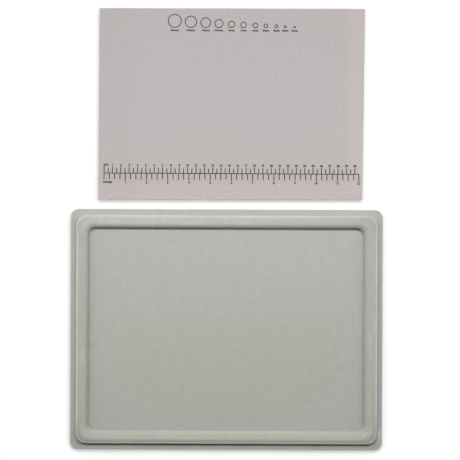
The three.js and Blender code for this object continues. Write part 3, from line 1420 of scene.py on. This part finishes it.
@dataclass
class Film:
    """Flat shapes of one print on the mat, which become a thin closed film of ink.

    The print is turned by a small angle about the mat's middle. The boldness is in heights of the
    font's letters, and the least hole in widths of a line.
    """

    mat: Mat
    turn: float
    proud: float = 0.04 * MM
    sunk: float = 0.06 * MM
    bar_step: float = 3 * MM
    hoop_steps: int = 56
    least_hole: float = 0.2
    figure_fineness: int = 4
    figure_boldness: float = 0.066
    points: list[complex] = field(default_factory=list)
    faces: list[list[int]] = field(default_factory=list)

    def add(self, points: Sequence[complex], faces: Sequence[Sequence[int]]) -> None:
        """Adds flat shapes.

        Args:
            points: Points about the mat's middle.
            faces: Their faces, anticlockwise from above.
        """
        start = len(self.points)
        self.points += points
        self.faces += [[start + number for number in face] for face in faces]

    @staticmethod
    def rim(faces: Sequence[Sequence[int]]) -> list[tuple[int, int]]:
        """Lists the outer edges of flat faces, each with the faces on its left."""
        edges = {(a, b) for face in faces for a, b in zip(face, face[1:] + face[:1])}
        return sorted(edge for edge in edges if edge[::-1] not in edges)

    def bar(self, start: complex, end: complex, width: float) -> None:
        """Adds a straight line of ink.

        Args:
            start: Where its middle line starts.
            end: Where it ends.
            width: How broad it is.
        """
        steps = math.ceil(abs(end - start) / self.bar_step)
        side = 0.5 * width * 1j * (end - start) / abs(end - start)
        middle = np.linspace(start, end, steps + 1)
        faces = [[i, i + 1, i + steps + 2, i + steps + 1] for i in range(steps)]
        self.add([*(middle - side), *(middle + side)], faces)

    def hoop(self, centre: complex, diameter: float, width: float) -> None:
        """Adds a round line of ink.

        Args:
            centre: The middle of the round.
            diameter: Its diameter, along the middle of the line.
            width: How broad the line is.
        """
        steps = self.hoop_steps
        round_way = np.exp(2j * math.pi * np.arange(steps) / steps)
        inner = max(diameter - width, self.least_hole * width) / 2
        outer = (diameter + width) / 2
        faces = [[i, i + steps, (i + 1) % steps + steps, (i + 1) % steps] for i in range(steps)]
        self.add([*(centre + inner * round_way), *(centre + outer * round_way)], faces)

    def figure(self, text: str, centre: complex, height: float, width: float = 0.0) -> None:
        """Adds a number or a plain word.

        Args:
            text: What it says.
            centre: Where its middle is.
            height: How tall it is.
            width: How wide it is, or 0 for the font's own shape.
        """
        font = bpy.data.curves.new("figure", "FONT")
        font.body = text
        font.resolution_u = self.figure_fineness
        holder = bpy.data.objects.new("figure", font)
        mesh = bpy.data.meshes.new_from_object(holder)
        points = np.array([complex(vertex.co.x, vertex.co.y) for vertex in mesh.vertices])
        faces = [list(polygon.vertices) for polygon in mesh.polygons]
        outward = np.zeros(len(points), complex)
        for a, b in self.rim(faces):
            outward[[a, b]] -= 1j * (points[b] - points[a]) / abs(points[b] - points[a])
        mitre = 2 / np.maximum(np.abs(outward) ** 2, 2)
        points += self.figure_boldness * mitre * outward
        low = complex(points.real.min(), points.imag.min())
        size = complex(points.real.max(), points.imag.max()) - low
        points = points - low - size / 2
        tall = height / size.imag
        broad = width / size.real if width else tall
        self.add(list(centre + broad * points.real + 1j * tall * points.imag), faces)
        bpy.data.objects.remove(holder)
        bpy.data.curves.remove(font)
        bpy.data.meshes.remove(mesh)

    def piece(self, name: str, material: bpy.types.Material) -> bpy.types.Object:
        """Thickens the shapes into a film on the mat's face.

        Args:
            name: The print's name.
            material: Its finish.

        Returns:
            The print.
        """
        flat = self.mat.middle + np.array(self.points) * cmath.exp(1j * self.turn)
        surface = in_space(flat, self.mat.face_height)
        surface[:, 2] += self.mat.lifted(surface)
        count = len(surface)
        walls = [[a + count, b + count, b, a] for a, b in self.rim(self.faces)]
        foot = [[number + count for number in reversed(face)] for face in self.faces]
        points = np.concatenate([surface + (0, 0, self.proud), surface - (0, 0, self.sunk)])
        piece = make_piece(name, points, self.faces + foot + walls, material, smooth=False)
        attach(piece, "mat")
        return piece


@dataclass
class RulerPrint:
    """The printed ruler: centimetres above its base line and inches below it, both true to size.

    It starts at a place about the mat's middle. Ticks are measured from the base line.
    """

    start: complex = complex(-151.55, -83.35) * MM
    turn: float = math.radians(-0.07)
    inch: float = 25.4 * MM
    inches: int = 12
    centimetre: float = 10 * MM
    centimetres: int = 30
    line: float = 1.0 * MM
    tick_line: float = 1.1 * MM
    centimetre_tick: float = 7.3 * MM
    half_centimetre_tick: float = 5.9 * MM
    quarter_inch_tick: float = 7.1 * MM
    half_inch_tick: float = 7.7 * MM
    inch_tick: float = 8.7 * MM
    end_line_above: float = 11.2 * MM
    end_line_below: float = 7.9 * MM
    centimetre_figure: float = 9.7 * MM
    inch_figure: float = 11.0 * MM
    figure_height: float = 3.0 * MM
    word_height: float = 2.6 * MM
    centimetre_word: complex = complex(2.9, 10.0) * MM
    inch_word: complex = complex(4.4, -10.8) * MM
    inch_word_width: float = 10.6 * MM

    def tick(self, film: Film, along: float, height: float) -> None:
        """Adds a tick to the ruler.

        Args:
            film: The print.
            along: Where the tick stands along the base line.
            height: How far it goes up or, if negative, down.
        """
        place = self.start + along
        foot = place + math.copysign(self.line / 2, height) * 1j
        film.bar(foot, place + height * 1j, self.tick_line)

    def build(self, mat: Mat, material: bpy.types.Material) -> bpy.types.Object:
        """Draws the ruler on the mat.

        Args:
            mat: The mat.
            material: The ink.

        Returns:
            The print.
        """
        film = Film(mat, self.turn)
        length = self.inches * self.inch
        half = self.line / 2
        film.bar(self.start - half, self.start + length + half, self.line)
        self.tick(film, 0, self.end_line_above)
        self.tick(film, 0, -self.end_line_below)
        for halves in range(1, 2 * self.centimetres + 1):
            along = halves * self.centimetre / 2
            number, rest = divmod(halves, 2)
            self.tick(film, along, self.half_centimetre_tick if rest else self.centimetre_tick)
            if not rest:
                spot = self.start + along + self.centimetre_figure * 1j
                film.figure(str(number), spot, self.figure_height)
        ticks = (self.inch_tick, self.quarter_inch_tick, self.half_inch_tick, self.quarter_inch_tick)
        for quarters in range(1, 4 * self.inches + 1):
            along = quarters * self.inch / 4
            number, rest = divmod(quarters, 4)
            self.tick(film, along, -ticks[rest])
            if not rest:
                spot = self.start + along - self.inch_figure * 1j
                film.figure(str(number), spot, self.figure_height)
        film.figure("CM", self.start + self.centimetre_word, self.word_height)
        film.figure("INCHES", self.start + self.inch_word, self.word_height, self.inch_word_width)
        return film.piece("ruler_print", material)


@dataclass
class BeadGaugePrint:
    """The printed bead gauge: a row of circles of true bead sizes, with their sizes under them.

    The row starts at a place about the mat's middle. Bead sizes, which are whole millimetres, and the
    gaps between circles are in millimetres.
    """

    bead_mm: tuple[int, ...] = (16, 14, 12, 10, 8, 7, 6, 5, 4, 3, 2)
    gaps_mm: tuple[float, ...] = (4.3, 4.7, 4.9, 6.1, 6.8, 7.6, 7.3, 7.9, 7.0, 8.9)
    first_side: float = -75.8 * MM
    foot: float = 91.2 * MM
    turn: float = math.radians(-0.03)
    line: float = 1.05 * MM
    line_inset: float = 0.22 * MM
    figure_drop: float = 3.1 * MM
    figure_height: float = 2.5 * MM
    figure_width_each: float = 2.55 * MM

    def build(self, mat: Mat, material: bpy.types.Material) -> bpy.types.Object:
        """Draws the gauge on the mat.

        Args:
            mat: The mat.
            material: The ink.

        Returns:
            The print.
        """
        film = Film(mat, self.turn)
        side = self.first_side
        for bead, gap in zip(self.bead_mm, (*self.gaps_mm, 0)):
            size = bead * MM
            x = side + size / 2
            film.hoop(complex(x, self.foot + size / 2), size - 2 * self.line_inset, self.line)
            label = f"{bead}mm"
            width = self.figure_width_each * len(label)
            film.figure(label, complex(x, self.foot - self.figure_drop), self.figure_height, width)
            side += size + gap * MM
        return film.piece("bead_gauge_print", material)


class Lit(Enum):
    """What a lamp lights, by the word for the floor's part in that."""

    FLOOR_ALONE = "INCLUDE"
    ALL_BUT_FLOOR = "EXCLUDE"


@dataclass(frozen=True)
class Lamp:
    """A flat soft lamp: its place, the point that it faces, its width and height, and its watts."""

    name: str
    place: tuple[float, float, float]
    aim: tuple[float, float, float]
    size: tuple[float, float]
    power: float

    def hang(self, floor: bpy.types.Object, lit: Lit) -> None:
        """Hangs the lamp.

        Args:
            floor: The floor.
            lit: What the lamp lights.
        """
        data = bpy.data.lights.new(self.name, "AREA")
        data.shape = "RECTANGLE"
        data.size, data.size_y = self.size
        data.energy = self.power
        lamp = bpy.data.objects.new(self.name, data)
        lamp.visible_camera = False
        lamp.location = self.place
        backward = Vector(self.place) - Vector(self.aim)
        lamp.rotation_euler = backward.to_track_quat("Z", "Y").to_euler()
        bpy.context.scene.collection.objects.link(lamp)
        linked = bpy.data.collections.new(f"{self.name}_lights")
        linked.objects.link(floor)
        lamp.light_linking.receiver_collection = linked
        linked.collection_objects[0].light_linking.link_state = lit.value


@dataclass
class Studio:
    """The pale floor, the soft light and the camera straight above.

    The tray's middle falls on a pixel of the picture, counted to the right and down. The floor glows
    white well away from the set, so that it has no horizon.
    """

    image_pixels: int = 460
    pixel: float = 1.197 * MM
    tray_pixel: complex = 225.9 + 329.1j
    roll: float = math.radians(0.235)
    camera_height: float = 7.0
    sensor: float = 36 * MM
    key: Lamp = Lamp("key", (-0.7, 1.63, 2.7), (-0.7, 1.63, 0.0), (13.0, 1.6), 350.0)
    floor_lamps: tuple[Lamp, ...] = (
        Lamp("floor_top", (0.0, -0.3, 3.0), (0.0, -0.3, 0.0), (3.0, 3.0), 43.5),
        Lamp("floor_back", (0.0, 4.3, 2.8), (0.0, 0.12, 0.0), (6.6, 1.8), 268.0),
        Lamp("floor_right", (2.45, 0.12, 1.72), (0.0, 0.12, 0.0), (3.0, 0.63), 47.0),
        Lamp("floor_left", (-2.6, 0.12, 1.5), (0.0, 0.12, 0.0), (3.0, 0.63), 36.0),
    )
    fill_strength: float = 0.03
    floor_size: float = 8.0
    floor_drop: float = 0.2 * MM
    floor_colour: Colour = (0.82, 0.82, 0.82, 1.0)
    floor_middle: float = 0.12
    glow_from: float = 0.37
    glow_to: float = 0.8

    def build_camera(self) -> None:
        """Hangs the camera over the set, so that the tray's middle falls on its pixel."""
        data = bpy.data.cameras.new("camera")
        data.sensor_width = self.sensor / MM
        data.lens = data.sensor_width * self.camera_height / (self.image_pixels * self.pixel)
        camera = bpy.data.objects.new("camera", data)
        middle = (self.image_pixels - 1) / 2 * (1 + 1j)
        aim = (middle - self.tray_pixel).conjugate() * self.pixel * cmath.exp(1j * self.roll)
        camera.location = (aim.real, aim.imag, self.camera_height)
        camera.rotation_euler = (0, 0, self.roll)
        bpy.context.scene.collection.objects.link(camera)
        bpy.context.scene.camera = camera

    def build_lights(self, floor: bpy.types.Object) -> None:
        """Hangs a long lamp for the set, four for the floor, and a weak even light all round.

        Args:
            floor: The floor, which takes its light from its own lamps.
        """
        self.key.hang(floor, Lit.ALL_BUT_FLOOR)
        for lamp in self.floor_lamps:
            lamp.hang(floor, Lit.FLOOR_ALONE)
        graph = NodeGraph(bpy.data.worlds.new("studio"))
        fill, white = (
            graph.node("ShaderNodeBackground", sockets={"Color": 1.0, "Strength": strength})
            for strength in (self.fill_strength, 1.0)
        )
        both = graph.node("ShaderNodeMixShader", sockets={0: graph.seen(), 1: fill, 2: white})
        graph.node("ShaderNodeOutputWorld", sockets={"Surface": both}, output=None)
        bpy.context.scene.world = graph.owner

    def build_floor(self) -> bpy.types.Object:
        """Lays a pale floor that looks white and keeps the set's shadow.

        Returns:
            The floor.
        """
        graph = NodeGraph.of_material("floor")
        length = {"operation": "LENGTH"}
        way_off = graph.node("ShaderNodeVectorMath", length, {0: graph.place()}, "Value")
        material = graph.close(
            {
                "Base Color": self.floor_colour,
                "Roughness": 0.9,
                "Specular IOR Level": 0.0,
                "Emission Color": graph.seen() * way_off.rise(self.glow_from, self.glow_to),
                "Emission Strength": 1.0,
            }
        )
        half = self.floor_size / 2
        corners = [(-half, -half), (half, -half), (half, half), (-half, half)]
        points = np.array([(x, y, -self.floor_drop) for x, y in corners])
        floor = make_piece("floor", points, [[0, 1, 2, 3]], material)
        floor.location.y = self.floor_middle
        return floor

    def build(self) -> None:
        """Sets up the camera, the lights, the floor and the plain view."""
        self.build_camera()
        self.build_lights(self.build_floor())
        bpy.context.scene.view_settings.view_transform = "Standard"


def main() -> None:
    """Builds the studio, the tray, the mat and its prints, and reports each piece."""
    logging.basicConfig(level=logging.INFO, format="%(name)s: %(message)s")
    Studio().build()
    tray, mat = Tray(), Mat()
    ink = InkFinish().material()
    prints = [RulerPrint().build(mat, ink), BeadGaugePrint().build(mat, ink)]
    for piece in [*tray.build(), *prints, *mat.build(prints)]:
        mesh = piece.data
        log.info("%s: %d points, %d faces", piece.name, len(mesh.vertices), len(mesh.polygons))


if __name__ == "__main__":
    main()
